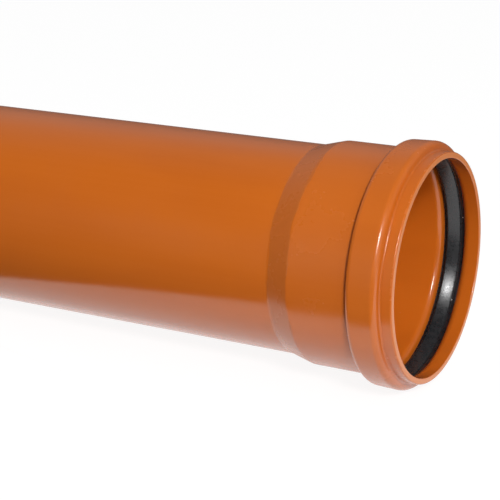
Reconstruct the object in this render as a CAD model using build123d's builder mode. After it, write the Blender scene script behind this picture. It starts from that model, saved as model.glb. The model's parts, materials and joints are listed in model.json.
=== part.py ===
from build123d import *
from math import asin, atan2, cos, degrees, hypot, radians, sin, tan
import os

# Socketed gravity sewer pipe, 160 mm outside, lying on a level floor.
# Millimetres. +Z is up and the socket points along +X. The origin is on the
# floor, under the middle of the pipe.

# Pipe
pipe_diameter = 160.0       # outside
wall = 4.7                  # same all along, as the socket is formed from the pipe
laid_length = 1000.0        # what one pipe adds to a line once its spigot is pushed home

# Spigot end
chamfer_angle = 15.0        # degrees to the pipe's axis
chamfer_depth = 2.35        # taken off the wall at the very end

# Socket, as lengths along the axis from the mouth backwards
collar_length = 12.7        # mouth to the foot of the groove's front wall
front_wall_run = 1.6
groove_length = 15.1        # roof of the groove
rear_wall_run = 2.5
engagement_length = 49.1    # straight bore that holds the next spigot
cone_length = 18.5          # from the socket bore down to the pipe bore

# Socket, as distances across the axis
socket_clearance = 0.5      # socket bore over spigot, on the diameter
mouth_relief = 0.6          # mouth bore over socket bore, on the radius
groove_depth = 7.15         # socket bore to the front edge of the groove's roof
roof_fall = 0.6             # how much lower the roof is at its rear edge

# Edges
front_lip_radius = 4.0      # bore edge in front of the groove
rear_lip_radius = 5.5       # bore edge behind the groove
collar_foot_radius = 1.0    # outside, where the bulge meets the collar
rim_radius = 1.5            # outside
mouth_chamfer = 0.6         # inside

# Sealing ring
heel_height = 3.75          # socket bore to where the heel meets the groove walls
lip_clearance = 0.2         # lip's edge outside the socket bore, so a spigot passes
lip_fall = 3.75             # the lip is a funnel: its front stands this much further out
lip_front_gap = 2.0         # groove wall to the front of the lip
lip_rear_gap = 4.0          # groove wall to the edge of the lip
crevice_depth = 0.8         # front and rear crevices, below the heel
lip_edge_chamfer = 0.6

# Radii and depths that follow
pipe_radius = pipe_diameter / 2
bore_radius = pipe_radius - wall
socket_radius = (pipe_diameter + socket_clearance) / 2
mouth_radius = socket_radius + mouth_relief
groove_radius = socket_radius + groove_depth
groove_front = collar_length + front_wall_run
groove_rear = groove_front + groove_length
insertion_depth = groove_rear + rear_wall_run + engagement_length
overall_length = laid_length + insertion_depth
chamfer_length = chamfer_depth / tan(radians(chamfer_angle))

# Corners of the inside, as (distance along the axis from the mouth, radius)
spigot_mouth = (-overall_length, bore_radius)
cone_back = (-insertion_depth - cone_length, bore_radius)
cone_front = (-insertion_depth, socket_radius)
rear_foot = (-groove_rear - rear_wall_run, socket_radius)
rear_top = (-groove_rear, groove_radius - roof_fall)
front_top = (-groove_front, groove_radius)
front_foot = (-collar_length, mouth_radius)
mouth = (0, mouth_radius)

# The pipe rests on two places: the edge where its spigot's chamfer starts, and
# the bulge. The bulge's outside there is an arc of one wall's radius about
# front_top, so the floor runs from that edge tangent to that arc.
spigot_edge = (chamfer_length - overall_length, pipe_radius)
rest_run = front_top[0] - spigot_edge[0]
rest_rise = front_top[1] - spigot_edge[1]
tilt = atan2(rest_rise, rest_run) + asin(wall / hypot(rest_run, rest_rise))
mouth_height = pipe_radius * cos(tilt) - spigot_edge[0] * sin(tilt)

# The section is drawn in the upright plane through the axis: x runs along the
# axis from the mouth, y is the radius.
axis_direction = Vector(cos(tilt), 0, sin(tilt))
mouth_centre = Vector(overall_length / 2 * cos(tilt), 0, mouth_height)
section_plane = Plane(origin=mouth_centre, x_dir=axis_direction, z_dir=(0, -1, 0))
pipe_axis = Axis(mouth_centre, axis_direction)


def point_on_wall(foot, top, radius):
    """Point at the given radius on the straight groove wall from foot to top."""
    share = (radius - foot[1]) / (top[1] - foot[1])
    return (foot[0] + share * (top[0] - foot[0]), radius)


# Pipe with its formed socket. The inside is drawn and thickened outwards by one
# wall, so every bend that is rounded inside is sharp outside and the other way
# round, as on a pipe blown out over a mandrel.
with BuildPart() as pipe:
    with BuildSketch(section_plane) as pipe_section:
        with BuildLine():
            Polyline(
                spigot_mouth,
                cone_back,
                cone_front,
                rear_foot,
                rear_top,
                front_top,
                front_foot,
                mouth,
            )
            offset(amount=wall, side=Side.LEFT)
        make_face()

        # Chamfer that guides the spigot past the lip
        with BuildLine():
            Polyline(
                spigot_edge,
                (-overall_length, pipe_radius),
                (-overall_length, pipe_radius - chamfer_depth),
                close=True,
            )
        make_face(mode=Mode.SUBTRACT)

        # Edges that are rounded by forming or trimming
        collar_foot = (front_foot[0] + wall / 2, mouth_radius + wall)
        rounded_corners = [
            (rear_foot, rear_lip_radius),
            (front_foot, front_lip_radius),
            (collar_foot, collar_foot_radius),
            ((0, mouth_radius + wall), rim_radius),
        ]
        for corner, radius in rounded_corners:
            fillet(pipe_section.vertices().sort_by_distance(corner)[0], radius)
        chamfer(pipe_section.vertices().sort_by_distance(mouth)[0], mouth_chamfer)
    revolve(axis=pipe_axis)

# Rubber sealing ring. Its heel fills the groove face to face. Its lip is a
# funnel that guides the spigot, narrowest at its rear edge, which stands just
# clear of the bore. A crevice on each side parts the lip from the groove.
heel_radius = socket_radius + heel_height
lip_radius = socket_radius + lip_clearance
heel_front = point_on_wall(front_foot, front_top, heel_radius)
heel_rear = point_on_wall(rear_foot, rear_top, heel_radius)
lip_front = (heel_front[0] - lip_front_gap, lip_radius + lip_fall)
lip_rear = (heel_rear[0] + lip_rear_gap, lip_radius)
crevice_front = (heel_front[0] - lip_front_gap / 2, heel_radius + crevice_depth)
crevice_rear = (heel_rear[0] + lip_rear_gap / 2, heel_radius + crevice_depth)

with BuildPart() as sealing_ring:
    with BuildSketch(section_plane) as ring_section:
        with BuildLine():
            Polyline(
                heel_rear,
                rear_top,
                front_top,
                heel_front,
                crevice_front,
                lip_front,
                lip_rear,
                crevice_rear,
                close=True,
            )
        make_face()
        for corner in (lip_front, lip_rear):
            chamfer(ring_section.vertices().sort_by_distance(corner)[0], lip_edge_chamfer)
    revolve(axis=pipe_axis)

pipe.part.label = "pipe"
sealing_ring.part.label = "sealing_ring"

print(f"tilt {degrees(tilt):.3f} degrees, mouth centre {mouth_centre}")
print(f"overall length {overall_length:.1f}, insertion depth {insertion_depth:.1f}")

os.makedirs("parts", exist_ok=True)
export_step(pipe.part, "parts/pipe.step")
export_step(sealing_ring.part, "parts/sealing_ring.step")
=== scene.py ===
# %% [markdown]
# # A socketed sewer pipe
#
# One length of orange sewer pipe lies on a white sheet. It is a tube whose end was heated and
# blown out over a mandrel: first a cone, then a socket that takes the next pipe, then a bulge
# with a groove inside, and a short collar at the mouth. A black rubber ring sits in the groove
# and seals the joint.
#
# Every surface here is a surface of revolution about one axis, so the whole lesson is: find the
# axis, draw half a section, turn it, and then spend the time on the finishes.

import json
from math import acos, ceil, cos, degrees, pi, radians, sin, tan

import bpy
import numpy as np
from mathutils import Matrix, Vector


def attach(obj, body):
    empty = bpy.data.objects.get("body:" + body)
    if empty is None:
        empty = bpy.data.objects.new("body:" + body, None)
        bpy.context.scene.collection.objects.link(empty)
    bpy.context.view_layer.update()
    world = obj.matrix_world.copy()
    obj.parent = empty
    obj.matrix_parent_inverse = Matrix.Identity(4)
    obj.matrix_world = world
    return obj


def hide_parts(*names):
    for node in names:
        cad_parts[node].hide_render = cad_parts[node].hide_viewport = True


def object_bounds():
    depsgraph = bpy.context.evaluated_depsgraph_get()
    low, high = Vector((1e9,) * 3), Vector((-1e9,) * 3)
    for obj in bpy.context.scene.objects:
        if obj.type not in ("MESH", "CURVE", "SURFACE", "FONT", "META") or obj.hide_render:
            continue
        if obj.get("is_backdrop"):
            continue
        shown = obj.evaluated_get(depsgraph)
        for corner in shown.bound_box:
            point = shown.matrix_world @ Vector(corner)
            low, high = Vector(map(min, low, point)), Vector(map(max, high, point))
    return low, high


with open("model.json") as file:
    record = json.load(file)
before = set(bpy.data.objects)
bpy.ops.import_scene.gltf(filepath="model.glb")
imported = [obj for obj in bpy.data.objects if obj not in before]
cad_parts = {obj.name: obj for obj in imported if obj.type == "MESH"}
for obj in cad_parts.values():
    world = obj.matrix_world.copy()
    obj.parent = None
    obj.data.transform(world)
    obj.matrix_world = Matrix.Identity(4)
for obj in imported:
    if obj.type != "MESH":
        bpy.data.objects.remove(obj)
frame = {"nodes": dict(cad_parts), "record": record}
cad_low, cad_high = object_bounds()
mm = 0.001
print("CAD pieces:", sorted(frame["nodes"]))

# %% [markdown]
# ## Where the pipe lies
#
# The pipe rests on its bulge and on the edge of its spigot, so its axis rises a little towards
# the mouth. We could work the slope out again from the sizes, but the model already knows it:
# the socket is a stated interface with a place and a direction. The two ends then follow from
# the pipe's own corners, measured along that direction.

# %% Find the axis and the two ends
socket = next(m for m in frame["record"]["mounts"] if m["name"] == "socket")
axis_direction = Vector(socket["axis"]).normalized()
socket_centre = Vector(socket["pos_m"])
side_direction = Vector((0, 1, 0))

corners_along = [
    (corner.co - socket_centre).dot(axis_direction)
    for corner in frame["nodes"]["pipe"].data.vertices
]
mouth_centre = socket_centre + axis_direction * max(corners_along)
overall_length = max(corners_along) - min(corners_along)
tilt = acos(axis_direction.x)
print(f"mouth {mouth_centre}, length {overall_length:.4f} m, tilt {degrees(tilt):.3f} degrees")

# %% [markdown]
# ## The sizes of the section
#
# The section is drawn in two numbers: how far a point is from the mouth, measured backwards as
# a minus, and how far it is from the axis. The wall is the same everywhere, because forming a
# socket bends the wall and doesn't thicken it. So only the inside needs sizes, and the outside
# is the inside moved out by one wall.

# %% Sizes of the pipe and its socket
pipe_radius = 80.0 * mm
wall = 4.7 * mm
bore_radius = pipe_radius - wall
socket_radius = 80.25 * mm
mouth_radius = 80.85 * mm
groove_radius = 87.4 * mm
roof_fall = 0.6 * mm

collar_length = 12.7 * mm
front_wall_run = 1.6 * mm
groove_length = 15.1 * mm
rear_wall_run = 2.5 * mm
insertion_depth = 81.0 * mm
cone_length = 18.5 * mm
chamfer_depth = 2.35 * mm
chamfer_angle = radians(15)

groove_front = -collar_length - front_wall_run
groove_rear = groove_front - groove_length
laid_length = overall_length - insertion_depth
print(f"the pipe adds {laid_length:.4f} m to a line of pipes")

# %% [markdown]
# ## From corners to a rounded outline
#
# A moulded or cut edge is never a perfect corner: its small radius is what catches the light,
# and a thin bright line along an edge is most of what makes a plastic pipe look like plastic.
# Blender's Bevel modifier could round the turned mesh, but then every edge would get the same
# radius. Here each corner of the section carries its own radius, and the outline is rounded
# before it is turned.
#
# Beside each arc goes one extra ring of points. Smooth shading averages the slopes of the faces
# that meet at a point, so without those rings a tiny arc would bend the light on the long
# straight wall beside it.

# %% Round the corners of a section
ARC_STEP = radians(9)          # turn of the outline from one point of an arc to the next
GUARD = 0.35 * mm              # from the end of an arc to its guard ring
FULL_TURN = radians(60)        # a corner that turns this far is a full edge
SHARP_ROUNDING = 1.5 * mm      # if its rounding is no larger than this


def rounded(corners):
    """Points (along, radius, edge) of a closed outline that runs clockwise.

    Each corner is (along, radius, rounding). Edge is 1 on a sharp outer edge, -1 in a sharp
    inner one, smaller where the bend is gentle and 0 elsewhere, so the finish can find them.
    """
    points = []
    places = [Vector(corner[:2]) for corner in corners]
    roundings = [corner[2] for corner in corners]
    for i, (place, rounding) in enumerate(zip(places, roundings)):
        to_last = (places[i - 1] - place).normalized()
        to_next = (places[(i + 1) % len(places)] - place).normalized()
        turn = pi - to_last.angle(to_next)
        convex = 1.0 if to_last.cross(to_next) > 0 else -1.0
        edge = convex * min(1.0, turn / FULL_TURN) * min(1.0, SHARP_ROUNDING / rounding)
        setback = rounding * tan(turn / 2)
        centre = place + (to_last + to_next).normalized() * (rounding / cos(turn / 2))
        spoke = place + to_last * setback - centre
        steps = max(1, ceil(turn / ARC_STEP))
        points.append((*(place + to_last * (setback + GUARD)), 0.0))
        for step in range(steps + 1):
            angle = -convex * turn * step / steps
            swung = Vector((spoke.x * cos(angle) - spoke.y * sin(angle),
                            spoke.x * sin(angle) + spoke.y * cos(angle)))
            points.append((*(centre + swung), edge))
        points.append((*(place + to_next * (setback + GUARD)), 0.0))
    return points


square = [(0, 0), (0, 9 * mm), (9 * mm, 9 * mm), (9 * mm, 0)]
print("a rounded square has", len(rounded([(*corner, 1 * mm) for corner in square])), "points")

# %% [markdown]
# ## The section of the pipe
#
# The inside runs from the spigot to the mouth, and a copy of it, moved out by one wall, makes
# the outside. Where the wall bends outwards round a corner, the outside follows it as an arc of
# one wall's radius. Where it bends back, the outside has a crease, and the mandrel leaves it
# nearly sharp: that is the dark line behind the bulge.

# %% Outline of the pipe's wall


def moved_out(places, distance):
    """An open line of corners, moved to its left, with each corner where its two sides meet."""
    runs = [(b - a).normalized() for a, b in zip(places, places[1:])]
    lefts = [Vector((-run.y, run.x)) for run in runs]
    moved = [places[0] + lefts[0] * distance]
    for place, before, after in zip(places[1:], lefts, lefts[1:]):
        moved.append(place + (before + after) * (distance / (1 + before.dot(after))))
    return moved + [places[-1] + lefts[-1] * distance]


inside = [
    Vector((-overall_length, bore_radius)),
    Vector((-insertion_depth - cone_length, bore_radius)),
    Vector((-insertion_depth, socket_radius)),
    Vector((groove_rear - rear_wall_run, socket_radius)),
    Vector((groove_rear, groove_radius - roof_fall)),
    Vector((groove_front, groove_radius)),
    Vector((-collar_length, mouth_radius)),
    Vector((0, mouth_radius)),
]
outside = moved_out(inside, wall)
crease_place = outside[3].x
spigot_tip = Vector((-overall_length, pipe_radius - chamfer_depth))
spigot_edge = Vector((chamfer_depth / tan(chamfer_angle) - overall_length, pipe_radius))

# Roundings in millimetres, from the spigot to the mouth
one_wall = wall / mm
inside_roundings = [0.4, 1.5, 2.5, 5.5, 0.3, 0.3, 6.2, 0.6]
spigot_roundings = [0.3, 0.8]
outside_roundings = [1.2, one_wall, 0.5, one_wall, one_wall, 1.8, 1.5]

places = [spigot_tip, spigot_edge, *outside[1:], *inside[::-1]]
roundings = spigot_roundings + outside_roundings + inside_roundings[::-1]
wall_outline = rounded([(*place, rounding * mm) for place, rounding in zip(places, roundings)])
print(f"pipe outline: {len(places)} corners, {len(wall_outline)} points")

# %% [markdown]
# ## The section of the sealing ring
#
# The ring's heel fills the groove. From its front grows the lip, a funnel that leads the next
# spigot in and narrows towards the back, where it ends in a free edge. A shallow crevice parts
# the lip from the collar, and a deep one parts it from the bore. The crevices matter for the
# look: they are the black bands on both sides of the satin face. The face is a little hollow, so
# that the lamp's streak on it is narrower than the face.

# %% Outline of the sealing ring
FACE_BEND = radians(11)        # how far the satin face turns from its front to its edge
heel_radius = socket_radius + 3.75 * mm
crevice_floor = heel_radius + 1.5 * mm
lip_edge_radius = socket_radius + 0.2 * mm


def on_wall(foot, top, radius):
    """Point at that radius on the straight groove wall from its foot to its top."""
    return foot + (top - foot) * ((radius - foot.y) / (top.y - foot.y))


rear_foot, rear_top, front_top, front_foot = inside[3:7]
heel_front = on_wall(front_foot, front_top, heel_radius)
heel_rear = on_wall(rear_foot, rear_top, heel_radius)
crevice_start = on_wall(front_foot, front_top, heel_radius + 0.85 * mm)
crevice_end = on_wall(rear_foot, rear_top, heel_radius + 1.1 * mm)
face_start = Vector((heel_front.x - 3.7 * mm, lip_edge_radius + 4.0 * mm))
lip_edge = Vector((heel_rear.x + 4.7 * mm, lip_edge_radius))
face = lip_edge - face_start
face_middle = (face_start + lip_edge) / 2 + Vector((-face.y, face.x)) * tan(FACE_BEND / 2) / 2
face_radius = face.length / FACE_BEND

seal_corners = [
    (*crevice_end, 0.15 * mm),
    (*rear_top, 0.3 * mm),
    (*front_top, 0.3 * mm),
    (*crevice_start, 0.15 * mm),
    (heel_front.x - 1.2 * mm, crevice_floor, 0.25 * mm),               # shallow crevice
    (heel_front.x - 3.0 * mm, crevice_floor, 0.25 * mm),
    (*face_start, 0.35 * mm),
    (*face_middle, 0.85 * face_radius),
    (*lip_edge, 0.4 * mm),
    (heel_rear.x + 4.3 * mm, lip_edge_radius + 0.7 * mm, 0.25 * mm),   # back of the lip
    (heel_rear.x + 2.7 * mm, crevice_floor, 0.5 * mm),                 # deep crevice
]
seal_outline = rounded(seal_corners)
print(f"seal outline: {len(seal_corners)} corners, {len(seal_outline)} points")

# %% [markdown]
# ## Helpers for node trees
#
# Everything from here on is built from nodes, and in plain Python a node takes several lines to
# add, set and link. Three short helpers keep the trees readable: one adds a node and fills its
# inputs, by link or by value, one does the same for a sum, and one opens a new tree with named
# sockets.

# %% Helpers for building node trees


def add(tree, kind, inputs=None, **settings):
    """Add a node. An input given as a socket is linked, and any other value is set."""
    made = tree.nodes.new(kind)
    for name, value in settings.items():
        setattr(made, name, value)
    for key, value in (inputs or {}).items():
        if isinstance(value, bpy.types.NodeSocket):
            tree.links.new(value, made.inputs[key])
        else:
            made.inputs[key].default_value = value
    return made


def maths(tree, operation, *values):
    """The output of a Math node. Each value is a number or a socket."""
    return add(tree, "ShaderNodeMath", dict(enumerate(values)), operation=operation).outputs[0]


def open_tree(name, kind, inputs, outputs):
    """A new node tree with named sockets, and its input and output nodes."""
    tree = bpy.data.node_groups.new(name, kind)
    for socket_name, socket_kind, value in inputs:
        made = tree.interface.new_socket(socket_name, in_out="INPUT", socket_type=socket_kind)
        if value is not None:
            made.default_value = value
    for socket_name, socket_kind in outputs:
        tree.interface.new_socket(socket_name, in_out="OUTPUT", socket_type=socket_kind)
    return tree, tree.nodes.new("NodeGroupInput").outputs, tree.nodes.new("NodeGroupOutput")


print("node helpers:", add.__name__, maths.__name__, open_tree.__name__)

# %% [markdown]
# ## A lathe from Geometry Nodes: where each point goes
#
# A lathe repeats one section round an axis, which is a rule, so it suits Geometry Nodes. The
# tree lays out a grid with one column for each turn step and one row for each point of the
# section, fetches the point that belongs to each row, and swings it round the axis. The Spin
# operator could turn the same outline, but it doesn't carry the edge value along, and its number
# of steps can't be changed afterwards.
#
# The first two parts of the tree read a point of the section and swing it.

# %% Read the section and swing it


def section_values(tree, section, point):
    """The section's place and edge value at that point."""
    position = add(tree, "GeometryNodeInputPosition").outputs[0]
    edge_value = add(tree, "GeometryNodeInputNamedAttribute", {"Name": "edge"}).outputs[0]
    place = add(tree, "GeometryNodeSampleIndex",
                {"Geometry": section, "Value": position, "Index": point},
                data_type="FLOAT_VECTOR")
    edge = add(tree, "GeometryNodeSampleIndex",
               {"Geometry": section, "Value": edge_value, "Index": point})
    return place.outputs[0], edge.outputs[0]


def swung_place(tree, given, place, angle):
    """A place of the section: along the axis, out to the side, and round by the angle."""
    parts = add(tree, "ShaderNodeSeparateXYZ", {0: place}).outputs
    along = add(tree, "ShaderNodeVectorMath",
                {"Vector": given["Axis Direction"], "Scale": parts["X"]}, operation="SCALE")
    out = add(tree, "ShaderNodeVectorMath",
              {"Vector": given["Side Direction"], "Scale": parts["Y"]}, operation="SCALE")
    arm = add(tree, "ShaderNodeVectorMath", {0: along.outputs[0], 1: out.outputs[0]})
    swung = add(tree, "ShaderNodeVectorRotate",
                {"Vector": arm.outputs[0], "Axis": given["Axis Direction"], "Angle": angle})
    return add(tree, "ShaderNodeVectorMath",
               {0: swung.outputs[0], 1: given["Axis Point"]}).outputs[0]


print("parts of the lathe:", section_values.__name__, swung_place.__name__)

# %% [markdown]
# ## The lathe: closing the skin
#
# The first and last columns of the grid, and its first and last rows, fall on each other. They
# are merged, so the skin is closed. All its faces are smooth, and only the creases that turn
# sharply are marked as sharp edges.

# %% Close the skin
MERGE_DISTANCE = 0.005 * mm


def closed_skin(tree, given, grid, target, edge):
    """The grid with its points moved to their targets, closed, shaded and with its finish."""
    skin = add(tree, "GeometryNodeSetPosition", {"Geometry": grid, "Position": target})
    skin = add(tree, "GeometryNodeStoreNamedAttribute",
               {"Geometry": skin.outputs[0], "Name": "edge", "Value": edge})
    skin = add(tree, "GeometryNodeMergeByDistance",
               {"Geometry": skin.outputs[0], "Distance": MERGE_DISTANCE})
    fold = add(tree, "GeometryNodeInputMeshEdgeAngle").outputs["Unsigned Angle"]
    gentle = add(tree, "FunctionNodeCompare", {0: fold, 1: given["Crease Angle"]},
                 operation="LESS_THAN")
    skin = add(tree, "GeometryNodeSetShadeSmooth",
               {"Geometry": skin.outputs[0], "Shade Smooth": True}, domain="FACE")
    skin = add(tree, "GeometryNodeSetShadeSmooth",
               {"Geometry": skin.outputs[0], "Shade Smooth": gentle.outputs[0]}, domain="EDGE")
    skin = add(tree, "GeometryNodeRealizeInstances", {"Geometry": skin.outputs[0]})
    skin = add(tree, "GeometryNodeSetMaterial",
               {"Geometry": skin.outputs[0], "Material": given["Finish"]})
    return skin.outputs[0]


print(f"points closer than {MERGE_DISTANCE / mm} mm are merged")

# %% [markdown]
# ## The lathe: the whole tree
#
# The tree is built once, and its inputs stay open: the section, the number of steps, the axis
# and the finish. So the pipe and the ring share it. Reading the rows with a modulo brings the
# last row back to the first point, which closes the skin lengthways.

# %% Build the lathe
TURN_STEPS = 288
CREASE_ANGLE = radians(30)     # edges that turn further are sharp


def lathe_tree():
    """A tree that turns a section into a closed skin."""
    tree, given, result = open_tree(
        "Lathe", "GeometryNodeTree",
        [
            ("Section", "NodeSocketGeometry", None),
            ("Turn Steps", "NodeSocketInt", TURN_STEPS),
            ("Axis Point", "NodeSocketVector", (0, 0, 0)),
            ("Axis Direction", "NodeSocketVector", (1, 0, 0)),
            ("Side Direction", "NodeSocketVector", (0, 1, 0)),
            ("Crease Angle", "NodeSocketFloat", CREASE_ANGLE),
            ("Finish", "NodeSocketMaterial", None),
        ],
        [("Geometry", "NodeSocketGeometry")],
    )
    integer = "FunctionNodeIntegerMath"
    section, turn_steps = given["Section"], given["Turn Steps"]
    count = add(tree, "GeometryNodeAttributeDomainSize", {0: section}).outputs["Point Count"]
    rows = add(tree, integer, {0: count, 1: 1}, operation="ADD").outputs[0]
    columns = add(tree, integer, {0: turn_steps, 1: 1}, operation="ADD").outputs[0]
    grid = add(tree, "GeometryNodeMeshGrid", {"Vertices X": columns, "Vertices Y": rows})

    # Which point of the section, and how far round
    index = add(tree, "GeometryNodeInputIndex").outputs[0]
    row = add(tree, integer, {0: index, 1: rows}, operation="MODULO").outputs[0]
    point = add(tree, integer, {0: row, 1: count}, operation="MODULO").outputs[0]
    column = add(tree, integer, {0: index, 1: rows}, operation="DIVIDE").outputs[0]
    angle = maths(tree, "MULTIPLY", maths(tree, "DIVIDE", column, turn_steps), 2 * pi)

    place, edge = section_values(tree, section, point)
    target = swung_place(tree, given, place, angle)
    skin = closed_skin(tree, given, grid.outputs["Mesh"], target, edge)
    tree.links.new(skin, result.inputs["Geometry"])
    return tree


lathe = lathe_tree()
print(f"lathe tree: {len(lathe.nodes)} nodes")

# %% [markdown]
# ## Turning a section into a piece
#
# The section becomes a small wire mesh that carries the edge value of each point, the tree turns
# it, and the evaluated result is taken as a plain mesh.

# %% Turn a section


def section_wire(name, outline):
    """An object with the closed outline as a wire, with the edge value at each point."""
    count = len(outline)
    places = [(along, radius, 0) for along, radius, _ in outline]
    wire = bpy.data.meshes.new(name)
    wire.from_pydata(places, [(i, (i + 1) % count) for i in range(count)], [])
    edge_values = wire.attributes.new("edge", "FLOAT", "POINT").data
    edge_values.foreach_set("value", [edge for _, _, edge in outline])
    section = bpy.data.objects.new(name, wire)
    bpy.context.scene.collection.objects.link(section)
    return section


def turned(name, outline, finish):
    """A plain mesh object: the closed outline, turned round the pipe's axis."""
    section = section_wire(name + "_section", outline)
    modifier = section.modifiers.new("Lathe", "NODES")
    modifier.node_group = lathe
    sockets = lathe.interface.items_tree
    for socket_name, value in {
        "Turn Steps": TURN_STEPS,
        "Axis Point": mouth_centre,
        "Axis Direction": axis_direction,
        "Side Direction": side_direction,
        "Crease Angle": CREASE_ANGLE,
        "Finish": finish,
    }.items():
        modifier[sockets[socket_name].identifier] = value

    evaluated = section.evaluated_get(bpy.context.evaluated_depsgraph_get())
    mesh = bpy.data.meshes.new_from_object(evaluated)
    mesh.name = name
    section.modifiers.remove(modifier)
    bpy.data.objects.remove(section)
    piece = bpy.data.objects.new(name, mesh)
    bpy.context.scene.collection.objects.link(piece)
    return piece


print(f"a section is turned in {TURN_STEPS} steps of {360 / TURN_STEPS} degrees")

# %% [markdown]
# ## Helpers for finishes
#
# The finishes are masks, mixed and added. A mask is 1 where an effect shows and 0 where it
# doesn't, and it fades between the two. So a handful of helpers is enough: a fade, a band
# between two fades, a noise, a distance, coloured layers, and a weighted sum for the roughness
# and the height. A noise keeps close to 0.5, so a fade from about 0.35 to 0.7 spreads it out
# before it serves as a mask.

# %% Helpers for masks, layers and sums


def fade(tree, value, low, high, bottom=0.0, top=1.0):
    """The output of a smooth Map Range node."""
    node = add(tree, "ShaderNodeMapRange",
               {"Value": value, "From Min": low, "From Max": high, "To Min": bottom, "To Max": top},
               interpolation_type="SMOOTHSTEP")
    return node.outputs[0]


def band(tree, value, rise, fall):
    """1 between two places of the value. Each is given as the start and end of its fade."""
    return maths(tree, "MULTIPLY", fade(tree, value, *rise), fade(tree, value, *fall, 1.0, 0.0))


def noise(tree, place, scale, detail, roughness=0.5, **settings):
    """The output of a Noise Texture node. Scale is in patches to a metre."""
    return add(tree, "ShaderNodeTexNoise",
               {"Vector": place, "Scale": scale, "Detail": detail, "Roughness": roughness},
               **settings).outputs[0]


def gap_between(tree, place, other):
    """The distance between two places."""
    node = add(tree, "ShaderNodeVectorMath", {0: place, 1: other}, operation="DISTANCE")
    return node.outputs["Value"]


def blend(tree, share, first, second):
    """The colour output of a Mix node."""
    return add(tree, "ShaderNodeMix", {0: share, 6: first, 7: second}, data_type="RGBA").outputs[2]


def layered(tree, colour, layers):
    """A colour under layers of (mask, strength, colour), the last one on top."""
    colour = (*colour, 1)
    for mask, strength, layer in layers:
        colour = blend(tree, maths(tree, "MULTIPLY", mask, strength), colour, (*layer, 1))
    return colour


def summed(tree, start, parts):
    """A value with each (mask, weight) added to it."""
    for mask, weight in parts:
        start = maths(tree, "ADD", start, maths(tree, "MULTIPLY", mask, weight))
    return start


print("finish helpers:", fade.__name__, band.__name__, noise.__name__, layered.__name__)

# %% [markdown]
# ## Shared effects: where a point is on the pipe
#
# The patterns of a pipe follow its axis: die lines run along it, saw marks run round it. Object
# coordinates are in the frame of the floor, so a group first centres them on the mouth and
# turns them until X runs along the axis. Every other effect starts from there.

# %% Group: pipe coordinates


def coordinates_group():
    """Where a point is: its place in the pipe's frame, how far along, and how far from the axis."""
    tree, _, result = open_tree(
        "Pipe Coordinates", "ShaderNodeTree", [],
        [("Place", "NodeSocketVector"), ("Along", "NodeSocketFloat"), ("Radius", "NodeSocketFloat")],
    )
    place = add(
        tree, "ShaderNodeMapping",
        {"Vector": add(tree, "ShaderNodeTexCoord").outputs["Object"],
         "Location": mouth_centre, "Rotation": (0, -tilt, 0)},
        vector_type="TEXTURE",
    ).outputs[0]
    parts = add(tree, "ShaderNodeSeparateXYZ", {0: place}).outputs
    flat = add(tree, "ShaderNodeCombineXYZ", {"Y": parts["Y"], "Z": parts["Z"]}).outputs[0]
    radius = add(tree, "ShaderNodeVectorMath", {0: flat}, operation="LENGTH").outputs["Value"]
    tree.links.new(place, result.inputs["Place"])
    tree.links.new(parts["X"], result.inputs["Along"])
    tree.links.new(radius, result.inputs["Radius"])
    return tree


pipe_coordinates = coordinates_group()
print("group:", pipe_coordinates.name)

# %% [markdown]
# ## Shared effects: grain drawn out one way
#
# Two marks come from the same recipe, a noise that is squeezed in one direction. Drawn out
# along the axis it gives the faint die lines of an extruded tube, and its long low swells. Drawn
# out round the axis it gives the rings that a saw and a trimming knife leave. For the second the
# noise only reads how far along and how far out a point is, so it closes on itself all the way
# round.

# %% Groups: die lines and cut marks


def die_lines_group():
    """The height of a noise that is drawn out along the pipe."""
    tree, given, result = open_tree(
        "Die Lines", "ShaderNodeTree",
        [("Place", "NodeSocketVector", None), ("Spacing", "NodeSocketFloat", 2 * mm),
         ("Length", "NodeSocketFloat", 400 * mm), ("Detail", "NodeSocketFloat", 3.0)],
        [("Height", "NodeSocketFloat")],
    )
    parts = add(tree, "ShaderNodeSeparateXYZ", {0: given["Place"]}).outputs
    drawn = add(tree, "ShaderNodeCombineXYZ", {
        "X": maths(tree, "DIVIDE", parts["X"], given["Length"]),
        "Y": maths(tree, "DIVIDE", parts["Y"], given["Spacing"]),
        "Z": maths(tree, "DIVIDE", parts["Z"], given["Spacing"]),
    }).outputs[0]
    height = noise(tree, drawn, 1.0, given["Detail"], 0.6)
    tree.links.new(height, result.inputs["Height"])
    return tree


def cut_marks_group():
    """The height of a noise that is drawn out round the pipe."""
    tree, given, result = open_tree(
        "Cut Marks", "ShaderNodeTree",
        [("Along", "NodeSocketFloat", 0.0), ("Radius", "NodeSocketFloat", 0.0),
         ("Spacing", "NodeSocketFloat", 0.4 * mm)],
        [("Height", "NodeSocketFloat")],
    )
    rings = add(tree, "ShaderNodeCombineXYZ", {
        "X": maths(tree, "DIVIDE", given["Along"], given["Spacing"]),
        "Y": maths(tree, "DIVIDE", given["Radius"], given["Spacing"]),
    }).outputs[0]
    height = noise(tree, rings, 1.0, 4.0, 0.65, noise_dimensions="2D")
    tree.links.new(height, result.inputs["Height"])
    return tree


die_lines = die_lines_group()
cut_marks = cut_marks_group()
print("groups:", die_lines.name, "and", cut_marks.name)

# %% [markdown]
# ## Shared effects: worn edges, painted shade in corners, and dust
#
# A pipe that has been stacked and carried has its outer edges rubbed pale. Its inner corners
# are painted darker, as painted shade. The edges and corners are known exactly, since the lathe
# stored them with the mesh, so no trick is needed to find them. A noise breaks both into
# patches. The dust is small spots, one in each cell of a Voronoi pattern, and most cells stay
# empty.

# %% Groups: edge wear with painted corner shade, and dust


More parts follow.
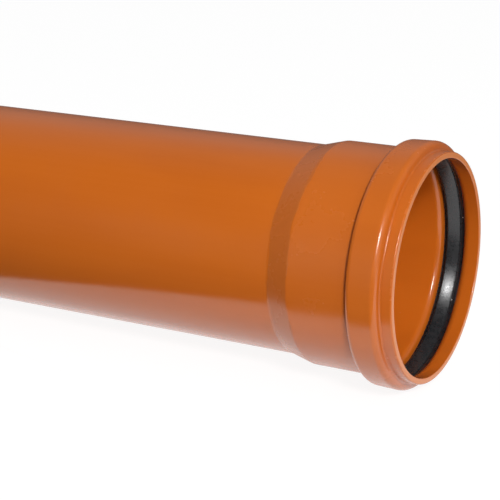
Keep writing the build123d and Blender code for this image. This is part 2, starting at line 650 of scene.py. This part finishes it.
def edge_group():
    """Masks of the rubbed outer edges and of the inner corners, where shade is painted."""
    tree, given, result = open_tree(
        "Wear And Corner Shade", "ShaderNodeTree",
        [("Place", "NodeSocketVector", None), ("Patch Size", "NodeSocketFloat", 6 * mm)],
        [("Worn", "NodeSocketFloat"), ("Corner Shade", "NodeSocketFloat")],
    )
    edge = add(tree, "ShaderNodeAttribute", attribute_name="edge").outputs["Fac"]
    density = maths(tree, "DIVIDE", 1.0, given["Patch Size"])
    patches = noise(tree, given["Place"], density, 5.0, 0.7)
    outer = maths(tree, "MAXIMUM", edge, 0.0)
    worn = maths(tree, "MULTIPLY", outer, fade(tree, patches, 0.35, 0.75))
    # Painted shade: the inner corners are darkened in patches, for the shade that falls there.
    inner = maths(tree, "MAXIMUM", maths(tree, "MULTIPLY", edge, -1.0), 0.0)
    corner = maths(tree, "MULTIPLY", inner, fade(tree, patches, 0.2, 0.6, 0.5, 1.0))
    tree.links.new(worn, result.inputs["Worn"])
    tree.links.new(corner, result.inputs["Corner Shade"])
    return tree


def dust_group():
    """A mask of scattered round spots."""
    tree, given, result = open_tree(
        "Dust", "ShaderNodeTree",
        [("Place", "NodeSocketVector", None), ("Spot Spacing", "NodeSocketFloat", 9 * mm),
         ("Spot Size", "NodeSocketFloat", 0.05)],
        [("Spots", "NodeSocketFloat")],
    )
    density = maths(tree, "DIVIDE", 1.0, given["Spot Spacing"])
    cells = add(tree, "ShaderNodeTexVoronoi", {"Vector": given["Place"], "Scale": density})
    chance = add(tree, "ShaderNodeSeparateColor", {0: cells.outputs["Color"]}).outputs[0]
    size = maths(tree, "MULTIPLY", given["Spot Size"], fade(tree, chance, 0.55, 1.0))
    spots = maths(tree, "LESS_THAN", cells.outputs["Distance"], size)
    tree.links.new(spots, result.inputs["Spots"])
    return tree


wear_and_corner_shade = edge_group()
dust = dust_group()
print("groups:", wear_and_corner_shade.name, "and", dust.name)

# %% [markdown]
# ## A rubbed spot
#
# Where something hard brushed the pipe, it left a few short strokes close together. A line is a
# thin slice of a noise: wherever the noise is close to its middle value. Two such noises, drawn
# out in crossing directions, give the strokes, and they show only within reach of one place. It
# is a group as well, so that another spot would take one more line.

# %% Group: rubbed spot
STROKES = [                    # turn and squeeze of each noise
    ((0.3, 0.2, 0.5), (60, 900, 900)),
    ((-0.2, 0.9, -0.4), (700, 45, 700)),
]
STROKE_WIDTH = 0.012           # how far from its middle value the noise still counts


def rubbed_spot_group():
    """A mask of short strokes round one place."""
    tree, given, result = open_tree(
        "Rubbed Spot", "ShaderNodeTree",
        [("Place", "NodeSocketVector", None), ("Centre", "NodeSocketVector", (0, 0, 0)),
         ("Reach", "NodeSocketFloat", 4 * mm)],
        [("Mask", "NodeSocketFloat")],
    )
    strokes = []
    for turn, squeeze in STROKES:
        aimed = add(tree, "ShaderNodeMapping",
                    {"Vector": given["Place"], "Rotation": turn, "Scale": squeeze}).outputs[0]
        from_middle = maths(tree, "SUBTRACT", noise(tree, aimed, 1.0, 2.0), 0.5)
        from_middle = maths(tree, "ABSOLUTE", from_middle)
        strokes.append(fade(tree, from_middle, 0.0, STROKE_WIDTH, 1.0, 0.0))
    gap = gap_between(tree, given["Place"], given["Centre"])
    near = fade(tree, maths(tree, "DIVIDE", gap, given["Reach"]), 0.6, 1.0, 1.0, 0.0)
    mask = maths(tree, "MULTIPLY", maths(tree, "MAXIMUM", *strokes), near)
    tree.links.new(mask, result.inputs["Mask"])
    return tree


rubbed_spot = rubbed_spot_group()
print("group:", rubbed_spot.name)

# %% [markdown]
# ## Materials that use the groups
#
# A material starts empty, places the groups it needs with its own values, and ends in one
# Principled BSDF. That shader stays in the material itself, since only colours, masks and
# heights belong in a group. The height goes through one Bump node, in metres.

# %% Helpers for materials


def new_material(name):
    """A material with an empty node tree, and the tree."""
    material = bpy.data.materials.new(name)
    material.use_nodes = True
    material.node_tree.nodes.clear()
    return material, material.node_tree


def group(tree, which, inputs=None):
    """Place a node group and return its outputs."""
    # Inputs go by number, since the node's own sockets only exist once its tree is set.
    names = [item.name for item in which.interface.items_tree if item.in_out == "INPUT"]
    numbered = {names.index(name): value for name, value in (inputs or {}).items()}
    return add(tree, "ShaderNodeGroup", numbered, node_tree=which).outputs


def glossy_surface(tree, colour, roughness, height, ior):
    """End a material's tree in a Principled BSDF."""
    bump = add(tree, "ShaderNodeBump", {"Height": height, "Distance": 1.0, "Strength": 1.0})
    surface = add(tree, "ShaderNodeBsdfPrincipled",
                  {"Base Color": colour, "Roughness": roughness, "IOR": ior,
                   "Normal": bump.outputs[0]})
    add(tree, "ShaderNodeOutputMaterial", {"Surface": surface.outputs[0]})


print("material helpers:", new_material.__name__, group.__name__, glossy_surface.__name__)

# %% [markdown]
# ## The zones of the pipe
#
# The finish changes at places that the section knows. The cone was stretched while it was soft,
# and its ends are a little uneven, so a noise shifts them. The crease lies where the wall bends
# back behind the bulge. The rim of the mouth and the chamfer of the spigot were trimmed.
#
# Each zone is a mask, made from how far a point is along the pipe and how far it is from the
# axis. The line between inside and outside runs in the middle of the wall, and it steps out at
# the bulge. The zones could be painted by hand too, but then they wouldn't follow the sizes.

# %% Masks of the zones
CONE_WANDER = 1.8 * mm         # how far the ends of the cone's zone are shifted
BULGE_BACK = -36 * mm          # just behind the bulge
BULGE_STEP = 1.8 * mm          # how far the line between inside and outside steps out there


def pipe_zones(tree, place, along, radius):
    """Masks of the parts of the pipe whose finish differs."""
    cone_back, cone_front = -insertion_depth - cone_length, -insertion_depth
    cone_starts = (cone_back - 0.5 * mm, cone_back + 0.5 * mm)
    cone_ends = (cone_front - 0.7 * mm, cone_front + 0.3 * mm)
    uneven = fade(tree, noise(tree, place, 35.0, 2.0), 0.3, 0.7, -CONE_WANDER, CONE_WANDER)
    cone = band(tree, maths(tree, "ADD", along, uneven), cone_starts, cone_ends)
    formed = fade(tree, along, *cone_ends)

    split = maths(
        tree, "ADD",
        fade(tree, along, cone_back, cone_front, bore_radius + wall / 2, socket_radius + wall / 2),
        fade(tree, along, BULGE_BACK, BULGE_BACK + 1 * mm, 0.0, BULGE_STEP),
    )
    outer = fade(tree, maths(tree, "SUBTRACT", radius, split), -0.2 * mm, 0.2 * mm)
    inner = maths(tree, "SUBTRACT", 1.0, outer)
    behind = fade(tree, along, BULGE_BACK, BULGE_BACK + 4 * mm, 1.0, 0.0)

    # Painted shade: this mask darkens the colour at the crease, to deepen the dark line behind the
    # bulge.
    crease_shade = band(tree, along, (crease_place - 1.8 * mm, crease_place - 0.2 * mm),
                  (crease_place + 1.6 * mm, crease_place + 3.4 * mm))
    rim = fade(tree, along, -0.35 * mm, -0.05 * mm)
    chamfer = fade(tree, along, spigot_edge.x - 0.4 * mm, spigot_edge.x, 1.0, 0.0)
    return {
        "cone": cone,
        "formed": formed,
        "inner": inner,
        # Painted light: this mask lightens the inside behind the bulge, for light bounced round
        # inside the pipe.
        "bore": maths(tree, "MULTIPLY", inner, behind),
        "crease_shade": maths(tree, "MULTIPLY", crease_shade, outer),
        "cut": maths(tree, "MAXIMUM", rim, maths(tree, "MULTIPLY", outer, chamfer)),
    }


print(f"the crease lies {-crease_place / mm:.1f} mm behind the mouth")

# %% [markdown]
# ## The marks on the pipe
#
# Besides the zones, the pipe has marks that lie all over it: a faint cloud in the colour, smudges
# in the gloss, a fine grain, die lines, and long low swells that let the mirrored edge of the
# sheet waver, as it does on a real extruded tube. The knife's rings show only on the cuts. One
# short rubbed spot lies on the socket, close to the cone.

# %% Collect the pipe's masks and heights
RUBBED_PLACE = (-72.0 * mm, -79.4 * mm, 29.5 * mm)      # in the pipe's frame


def pipe_marks(tree):
    """Every mask and height that the pipe's finish uses, by name."""
    where = group(tree, pipe_coordinates)
    place, along, radius = where["Place"], where["Along"], where["Radius"]
    marks = pipe_zones(tree, place, along, radius)

    wear_and_shade = group(tree, wear_and_corner_shade, {"Place": place, "Patch Size": 5 * mm})
    spots = group(tree, dust, {"Place": place, "Spot Spacing": 13 * mm, "Spot Size": 0.025})
    rubbed = group(tree, rubbed_spot, {"Place": place, "Centre": RUBBED_PLACE})
    lines = group(tree, die_lines, {"Place": place, "Spacing": 3.5 * mm, "Length": 600 * mm})
    swells = group(tree, die_lines,
                   {"Place": place, "Spacing": 24 * mm, "Length": 130 * mm, "Detail": 0.0})
    knife = group(tree, cut_marks, {"Along": along, "Radius": radius, "Spacing": 0.35 * mm})
    return marks | {
        "worn": wear_and_shade["Worn"],
        "corner": wear_and_shade["Corner Shade"],
        "spots": spots["Spots"],
        "rubbed": rubbed["Mask"],
        "lines": lines["Height"],
        "swells": swells["Height"],
        "knife": maths(tree, "MULTIPLY", knife["Height"], marks["cut"]),
        "cloud": noise(tree, place, 9.0, 4.0, 0.55),
        "smudge": noise(tree, place, 22.0, 5.0, 0.6),
        "grain": noise(tree, place, 160.0, 2.0),
    }


print("the rubbed spot is at", [round(part / mm, 1) for part in RUBBED_PLACE], "mm")

# %% [markdown]
# ## The finish of the pipe
#
# Unplasticised PVC comes out of the die with a smooth, slightly waxy skin. On the real pipe
# the barrel is the glossiest part, and it mirrors the edge of the sheet it lies on as a clear
# line. The stretched cone is a little duller and darker than its neighbours, with a crisp
# boundary at both ends. The cuts are paler and matt. The crease behind the bulge gets painted
# shade and is nearly brown. The inside behind the bulge gets painted light: a lighter orange
# that stands in for light bounced round inside the pipe.
#
# The colour is nearly flat, so its layers are weak. What makes it look real is the gloss, and
# most of that comes from the roughness and the height.

# %% Finish: orange PVC
BARREL_ORANGE = (0.575, 0.130, 0.009)


def pipe_finish():
    """Orange PVC, with the pipe's zones and marks."""
    material, tree = new_material("orange_pvc")
    marks = pipe_marks(tree)
    colour = layered(tree, BARREL_ORANGE, [
        (marks["formed"], 1.0, (0.580, 0.131, 0.010)),
        (marks["cone"], 1.0, (0.485, 0.115, 0.013)),
        # painted light: a lighter inside, standing in for light bounced round in the pipe
        (marks["bore"], 1.0, (0.670, 0.150, 0.011)),
        # painted shade: the crease behind the bulge, darkened nearly to brown
        (marks["crease_shade"], 0.85, (0.170, 0.020, 0.001)),
        (fade(tree, marks["cloud"], 0.3, 0.7), 0.10, (0.500, 0.100, 0.007)),
        (fade(tree, marks["swells"], 0.35, 0.65), 0.16, (0.460, 0.092, 0.007)),
        (fade(tree, marks["lines"], 0.35, 0.7), 0.05, (0.660, 0.165, 0.024)),
        (marks["cut"], 0.70, (0.800, 0.270, 0.080)),
        (marks["worn"], 0.05, (0.780, 0.260, 0.080)),
        # painted shade: the inner corners, darkened a little
        (marks["corner"], 0.15, (0.220, 0.040, 0.004)),
        (marks["rubbed"], 0.20, (0.780, 0.340, 0.170)),
        (marks["spots"], 0.12, (0.800, 0.550, 0.380)),
    ])
    roughness = summed(tree, fade(tree, marks["smudge"], 0.3, 0.75, 0.17, 0.23), [
        (marks["formed"], 0.06),
        (marks["cone"], 0.08),
        (marks["inner"], -0.05),
        (marks["cut"], 0.22),
        (marks["worn"], 0.03),
        (marks["rubbed"], 0.05),
    ])
    height = summed(tree, 0.0, [
        (marks["grain"], 0.002 * mm),
        (marks["lines"], 0.003 * mm),
        (marks["swells"], 0.22 * mm),
        (marks["knife"], 0.035 * mm),
        (marks["rubbed"], -0.001 * mm),
    ])
    glossy_surface(tree, colour, roughness, height, ior=1.54)
    return material


orange_pvc = pipe_finish()
print(f"{orange_pvc.name}: {len(orange_pvc.node_tree.nodes)} nodes")

# %% [markdown]
# ## The finish of the sealing ring
#
# The ring is moulded black rubber. Its face is satin: it has a broad, soft sheen where the
# lamp is mirrored, and it is nearly black elsewhere. Fine rings run round it from the mould, and
# the sheen is slightly mottled. Besides the scattered dust, two grains have places of their own
# near the front edge, because a random pattern doesn't put a spot where we want one.

# %% Finish: black rubber
GRAIN_PLACES = [               # in the pipe's frame
    (-16.5 * mm, 70.1 * mm, -48.7 * mm),
    (-14.9 * mm, 84.2 * mm, 14.6 * mm),
]
GRAIN_RADIUS = 0.5 * mm


def seal_finish():
    """Satin black rubber with mould rings and dust."""
    material, tree = new_material("black_rubber")
    where = group(tree, pipe_coordinates)
    place, along, radius = where["Place"], where["Along"], where["Radius"]
    wear_and_shade = group(tree, wear_and_corner_shade, {"Place": place, "Patch Size": 3 * mm})
    rings = group(tree, cut_marks, {"Along": along, "Radius": radius, "Spacing": 0.9 * mm})
    mottle = noise(tree, place, 260.0, 4.0, 0.6)
    spots = group(tree, dust, {"Place": place, "Spot Spacing": 8 * mm, "Spot Size": 0.06})["Spots"]
    for grain in GRAIN_PLACES:
        here = maths(tree, "LESS_THAN", gap_between(tree, place, grain), GRAIN_RADIUS)
        spots = maths(tree, "MAXIMUM", spots, here)

    colour = layered(tree, (0.013, 0.014, 0.016), [
        (fade(tree, mottle, 0.35, 0.7), 1.0, (0.020, 0.021, 0.023)),
        (wear_and_shade["Worn"], 0.3, (0.070, 0.068, 0.066)),
        # painted shade: the ring's crevices, darkened nearly to black
        (wear_and_shade["Corner Shade"], 0.6, (0.008, 0.007, 0.007)),
        (spots, 1.0, (0.750, 0.730, 0.700)),
    ])
    roughness = summed(tree, fade(tree, mottle, 0.3, 0.75, 0.25, 0.33), [(wear_and_shade["Corner Shade"], 0.2)])
    height = summed(tree, 0.0, [
        (rings["Height"], 0.010 * mm),
        (mottle, 0.006 * mm),
        (spots, 0.05 * mm),
    ])
    glossy_surface(tree, colour, roughness, height, ior=1.52)
    return material


black_rubber = seal_finish()
print(f"{black_rubber.name}: {len(black_rubber.node_tree.nodes)} nodes")

# %% [markdown]
# ## The two pieces
#
# With the sections, the lathe and the finishes ready, the pieces take one call each. Both stand
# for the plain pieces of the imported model, in the same place and at the same size.
#
# The volume is a good test of a closed skin. It comes out positive only if the faces point
# outwards. The pipe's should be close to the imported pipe's, and the ring's is smaller, because
# its crevices are deeper here.

# %% Make the pipe and the sealing ring


def volume(mesh):
    """Volume inside a closed mesh, positive if its faces point outwards."""
    mesh.calc_loop_triangles()
    triangles = np.zeros(len(mesh.loop_triangles) * 3, np.int32)
    mesh.loop_triangles.foreach_get("vertices", triangles)
    places = np.zeros(len(mesh.vertices) * 3, np.float32)
    mesh.vertices.foreach_get("co", places)
    corners = places.reshape(-1, 3).astype(float)[triangles].reshape(-1, 3, 3)
    a, b, c = corners.transpose(1, 0, 2)
    return float(np.einsum("ij,ij->", a, np.cross(b, c)) / 6)


socket_pipe = turned("socket_pipe", wall_outline, orange_pvc)
lip_seal = turned("lip_seal", seal_outline, black_rubber)

for piece, node, slot in (
    (socket_pipe, "pipe", "pipe_plastic"),
    (lip_seal, "sealing_ring", "seal_rubber"),
):
    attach(piece, "root")
    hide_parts(node)
    made, packed = volume(piece.data), volume(frame["nodes"][node].data)
    print(f"{piece.name}: {len(piece.data.loop_triangles)} triangles, {made * 1e6:.1f} cm3, "
          f"packed {packed * 1e6:.1f} cm3")

# %% [markdown]
# ## What the sheet and the floor are made of
#
# The camera should see only white, so for its rays the whole floor is pale, apart from the
# shadow. But the pipe is glossy, and what it mirrors decides how it looks, so there the pieces of
# floor have to differ. Light Path tells a camera ray, a mirrored ray and bounced light apart, and
# one material function gives each piece its own level for each of them.

# %% A material for the floor
CAMERA_GREY = 0.16             # what the camera sees of the floor by the lamps' light
CAMERA_GLOW = 0.90             # and by its own


def floor_material(name, bounced, mirrored, glow):
    """Near white to the camera, with its own levels for the light it bounces and mirrors."""
    material, tree = new_material(name)
    path = add(tree, "ShaderNodeLightPath").outputs
    colour = blend(tree, path["Is Glossy Ray"], (bounced, bounced, bounced, 1),
                   (mirrored, mirrored, mirrored, 1))
    colour = blend(tree, path["Is Camera Ray"], colour, (CAMERA_GREY, CAMERA_GREY, CAMERA_GREY, 1))
    diffuse = add(tree, "ShaderNodeBsdfDiffuse", {"Color": colour})
    lift = summed(tree, 0.0, [(path["Is Camera Ray"], CAMERA_GLOW), (path["Is Glossy Ray"], glow)])
    light = add(tree, "ShaderNodeEmission", {"Color": (1, 1, 1, 1), "Strength": lift})
    both = add(tree, "ShaderNodeAddShader", {0: diffuse.outputs[0], 1: light.outputs[0]})
    add(tree, "ShaderNodeOutputMaterial", {"Surface": both.outputs[0]})
    return material


white_sheet = floor_material("white_sheet", bounced=0.50, mirrored=0.80, glow=0.85)
grey_floor = floor_material("grey_floor", bounced=0.40, mirrored=0.08, glow=0.12)
dim_floor = floor_material("dim_floor", bounced=0.20, mirrored=0.07, glow=0.0)
print("floor materials:", white_sheet.name, grey_floor.name, dim_floor.name)

# %% [markdown]
# ## The sheet and the floor
#
# The pipe lies on a white sheet whose front edge is close to it. The glossy wall mirrors the
# sheet as a pale band, and above that line it mirrors the dim room in front, so the edge of the
# sheet is what draws the clear line along the lower half of the pipe. Behind the sheet the floor
# is grey, which keeps the top edge of the pipe from turning pale.

# %% Lay the sheet and the floor
SHEET_DEPTH = 0.55
SHEET_STEP = 0.5 * mm          # the floor lies this much below the sheet
FLOOR_REACH = 12.0
sheet_edge_left = Vector((0.173, -0.082, 0))
sheet_edge_right = Vector((0.484, -0.162, 0))
edge_run = (sheet_edge_right - sheet_edge_left).normalized()
edge_back = Vector((-edge_run.y, edge_run.x, 0))


def floor_strip(name, front, back, height, material):
    """A strip along the sheet's front edge, between two distances behind that edge."""
    reach = edge_run * FLOOR_REACH
    front_place = sheet_edge_left + edge_back * front + Vector((0, 0, height))
    back_place = sheet_edge_left + edge_back * back + Vector((0, 0, height))
    corners = [front_place - reach, front_place + reach, back_place + reach, back_place - reach]
    mesh = bpy.data.meshes.new(name)
    mesh.from_pydata(corners, [], [(0, 1, 2, 3)])
    mesh.materials.append(material)
    strip = bpy.data.objects.new(name, mesh)
    bpy.context.scene.collection.objects.link(strip)
    strip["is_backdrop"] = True
    print(f"{name}: {front:.2f} to {back:.2f} m behind the edge")


floor_strip("sheet", 0.0, SHEET_DEPTH, 0.0, white_sheet)
floor_strip("far_floor", SHEET_DEPTH, SHEET_DEPTH + FLOOR_REACH, -SHEET_STEP, grey_floor)
floor_strip("near_floor", SHEET_DEPTH - FLOOR_REACH, SHEET_DEPTH, -SHEET_STEP, dim_floor)

# %% [markdown]
# ## The lamps
#
# A small lamp stands above and in front of the mouth. It draws the short bright streaks on the
# shoulder of the bulge, at the foot of the collar, on the inner corner of the socket and on the
# rubber, and each streak fixes one bearing of the lamp. A low fill from the front lifts the
# underside, and it is kept out of the reflections, since the pipe shows no panel there. A broad,
# weak lamp at the mouth's end brightens the rim.

# %% Place the lamps


def area_light(name, direction, distance, size, watts):
    """A round lamp that looks at the mouth from that direction."""
    data = bpy.data.lights.new(name, "AREA")
    data.shape = "DISK"
    data.size = size
    data.energy = watts
    light = bpy.data.objects.new(name, data)
    light.location = mouth_centre + direction.normalized() * distance
    light.rotation_euler = direction.to_track_quat("Z", "Y").to_euler()
    bpy.context.scene.collection.objects.link(light)
    print(f"{name}: {watts} W, {size} m across, {distance} m from the mouth")
    return light


area_light("lamp", Vector((0.65, -0.89, 0.706)), distance=2.5, size=0.52, watts=41.5)
fill = area_light("fill", Vector((-0.50, -1.20, 0.15)), distance=1.5, size=1.0, watts=2.4)
fill.visible_glossy = False
area_light("side", Vector((1.0, -0.50, 0.35)), distance=2.2, size=1.6, watts=5.0)

# %% [markdown]
# ## The room
#
# The world adds an even light, slightly stronger from the front. In reflections it is pale behind
# the pipe and dim in front, like a room with a light wall behind the bench, and the wall is
# brightest half way up. The camera itself sees white.

# %% Build the world
EVEN_LIGHT = 0.44
BACK_LOSS = 0.06               # how much weaker the even light is from behind
WALL_FOOT, WALL_MIDDLE = 0.14, 0.38      # how bright the mirrored wall is
WALL_TOP_SHARE = 0.25          # of its middle
MIDDLE_HEIGHT = 0.55           # from 0 at the foot to 1 straight up
DIMMEST = 0.02                 # of what the pipe mirrors

world = bpy.data.worlds.new("room")
bpy.context.scene.world = world
world.use_nodes = True
room = world.node_tree
room.nodes.clear()
path = add(room, "ShaderNodeLightPath").outputs
bearing = add(room, "ShaderNodeTexCoord").outputs["Generated"]
look = add(room, "ShaderNodeSeparateXYZ", {0: bearing}).outputs

lower_half = fade(room, look["Z"], 0.0, MIDDLE_HEIGHT, WALL_FOOT, WALL_MIDDLE)
upper_half = fade(room, look["Z"], MIDDLE_HEIGHT, 1.0, 1.0, WALL_TOP_SHARE)
back_wall = maths(room, "MULTIPLY", lower_half, upper_half)
mirrored = maths(room, "MULTIPLY", back_wall, fade(room, look["Y"], -0.35, 0.25))
mirrored = maths(room, "MAXIMUM", mirrored, DIMMEST)
even = summed(room, EVEN_LIGHT, [(look["Y"], -BACK_LOSS)])
not_mirrored = maths(room, "SUBTRACT", 1.0, path["Is Glossy Ray"])
level = summed(room, 0.0, [(path["Is Glossy Ray"], mirrored), (not_mirrored, even)])
level = maths(room, "MAXIMUM", level, path["Is Camera Ray"])
backdrop = add(room, "ShaderNodeBackground", {"Color": (1, 1, 1, 1), "Strength": level})
add(room, "ShaderNodeOutputWorld", {"Surface": backdrop.outputs[0]})
print(f"world {world.name}: {len(room.nodes)} nodes")

# %% [markdown]
# ## The camera
#
# The photograph was taken from above the mouth's left, with a long lens. The mouth's centre is
# a good anchor, because its place in the picture and its distance say where the camera is.

# %% Set the camera
SENSOR_WIDTH = 36
view_azimuth = radians(28.756)
view_elevation = radians(18.057)
focal_pixels = 1552.4
frame_pixels = 500
mouth_pixel = (439.1, 268.8)
mouth_depth = 1.1283

back = Vector((sin(view_azimuth) * cos(view_elevation),
               -cos(view_azimuth) * cos(view_elevation),
               sin(view_elevation)))
turn = (-back).to_track_quat("-Z", "Y")
right, up = turn @ Vector((1, 0, 0)), turn @ Vector((0, 1, 0))
across = (mouth_pixel[0] - frame_pixels / 2) / focal_pixels * mouth_depth
down = (mouth_pixel[1] - frame_pixels / 2) / focal_pixels * mouth_depth

camera_data = bpy.data.cameras.new("camera")
camera_data.sensor_width = SENSOR_WIDTH
camera_data.lens = focal_pixels / frame_pixels * SENSOR_WIDTH
camera = bpy.data.objects.new("camera", camera_data)
camera.location = mouth_centre + back * mouth_depth - right * across + up * down
camera.rotation_euler = turn.to_euler()
bpy.context.scene.collection.objects.link(camera)
bpy.context.scene.camera = camera
bpy.context.scene.view_settings.view_transform = "Standard"
print(f"camera at {camera.location}, lens {camera_data.lens:.1f} mm")

# %% [markdown]
# ## Last checks
#
# The finished object must keep the size of the imported model, so the two boxes are compared
# and their largest difference is printed.

# %% Compare the sizes
seen_low, seen_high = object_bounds()
differences = [abs(a - b) for a, b in zip([*cad_low, *cad_high], [*seen_low, *seen_high])]
print(f"largest difference of the boxes: {max(differences) / mm:.4f} mm")
